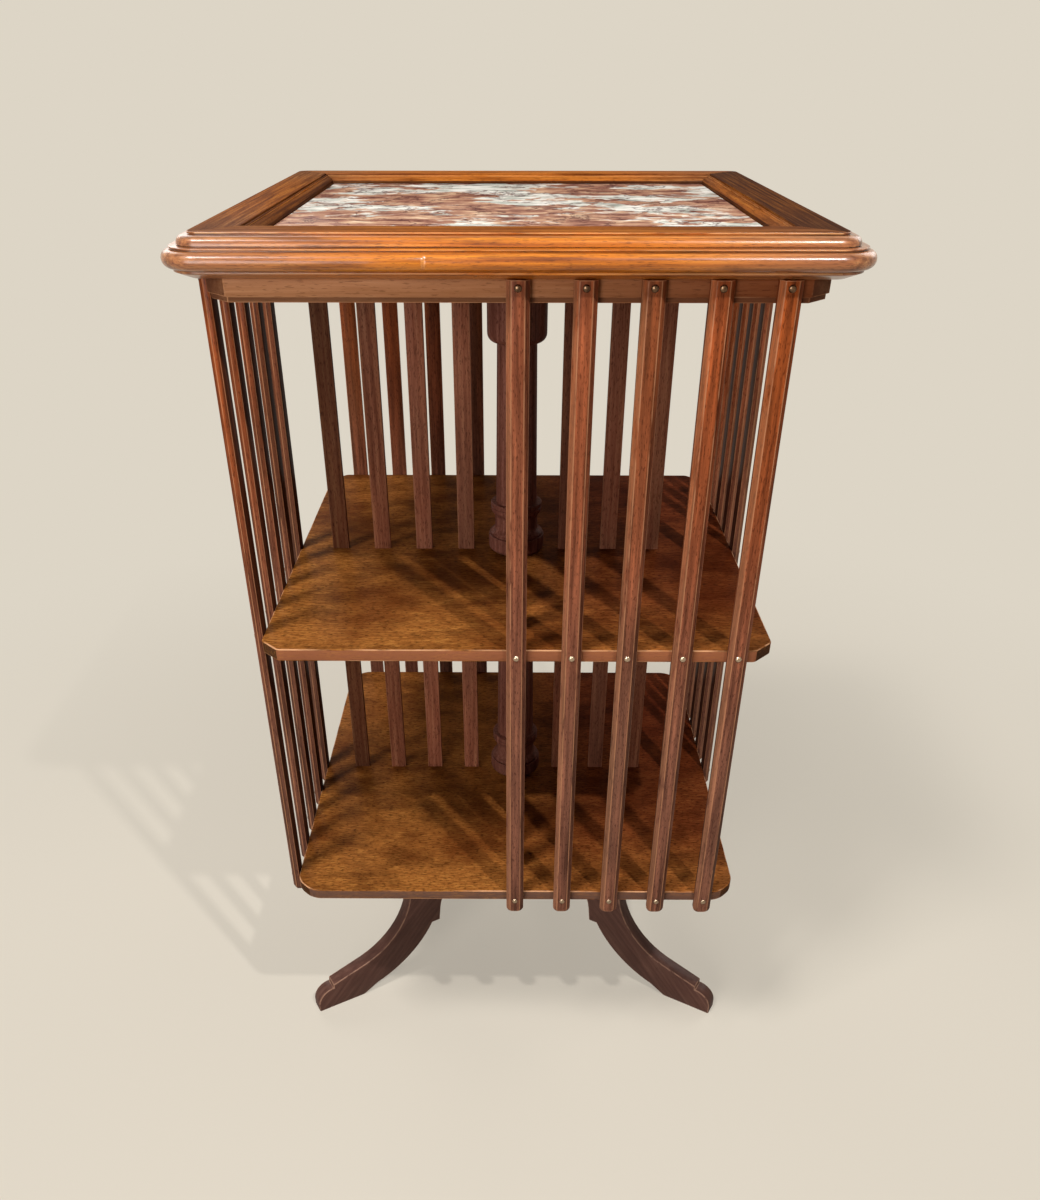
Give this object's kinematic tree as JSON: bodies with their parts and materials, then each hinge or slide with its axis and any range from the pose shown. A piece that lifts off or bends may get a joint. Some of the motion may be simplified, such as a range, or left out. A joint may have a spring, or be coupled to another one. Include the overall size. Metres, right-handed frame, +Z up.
{
  "type": "revolving bookcase",
  "caption": "Square slatted wooden bookcase with a marble-topped moulded frame that revolves on a fixed base of splayed sabre legs, with open book bays on every side.",
  "frame": {"origin": "on the floor, under the middle of the overall box; the turning axis of the case is 15.25 mm in front of it", "axes": "+Z up along the spindle, -Y towards the front, +X to the right seen from the front"},
  "size_m": [0.479, 0.5096, 0.8403],
  "materials": {
    "top_wood": "french polished, golden brown",
    "slat_wood": "stained reddish brown, waxed",
    "shelf_wood": "stained golden brown, waxed, worn at the edges",
    "base_wood": "dark stained, worn at the edges",
    "marble": "polished, veined",
    "iron": "blackened",
    "brass": "turned"
  },
  "bodies": {
    "base": {"leg_front_left": "base_wood", "leg_front_right": "base_wood", "leg_rear": "base_wood", "base_hub": "base_wood", "base_platform": "base_wood", "leg_screw_front_left": "iron", "leg_screw_front_right": "iron", "leg_screw_rear": "iron", "spindle": "iron", "spindle_plate": "iron", "thrust_washer": "brass"},
    "case": {"bottom_bush": "brass", "pivot_cup": "brass", "bottom_shelf": "shelf_wood", "middle_shelf": "shelf_wood", "frieze_board": "shelf_wood", "column_lower": "slat_wood", "column_upper": "slat_wood", "top_rail_front": "top_wood", "top_rail_right": "top_wood", "top_rail_rear": "top_wood", "top_rail_left": "top_wood", "marble_panel": "marble", "slat_front_1": "slat_wood", "slat_front_2": "slat_wood", "slat_front_3": "slat_wood", "slat_front_4": "slat_wood", "slat_front_5": "slat_wood", "slat_right_1": "slat_wood", "slat_right_2": "slat_wood", "slat_right_3": "slat_wood", "slat_right_4": "slat_wood", "slat_right_5": "slat_wood", "slat_rear_1": "slat_wood", "slat_rear_2": "slat_wood", "slat_rear_3": "slat_wood", "slat_rear_4": "slat_wood", "slat_rear_5": "slat_wood", "slat_left_1": "slat_wood", "slat_left_2": "slat_wood", "slat_left_3": "slat_wood", "slat_left_4": "slat_wood", "slat_left_5": "slat_wood", "divider_front_1": "slat_wood", "divider_front_2": "slat_wood", "divider_front_3": "slat_wood", "divider_front_4": "slat_wood", "divider_right_1": "slat_wood", "divider_right_2": "slat_wood", "divider_right_3": "slat_wood", "divider_right_4": "slat_wood", "divider_rear_1": "slat_wood", "divider_rear_2": "slat_wood", "divider_rear_3": "slat_wood", "divider_rear_4": "slat_wood", "divider_left_1": "slat_wood", "divider_left_2": "slat_wood", "divider_left_3": "slat_wood", "divider_left_4": "slat_wood"}
  },
  "joints": [
    {"name": "case_turn", "type": "hinge", "parent": "base", "child": "case", "pos_m": [0, -0.01525, 0.245], "axis": [0, 0, 1], "continuous": true}
  ]
}
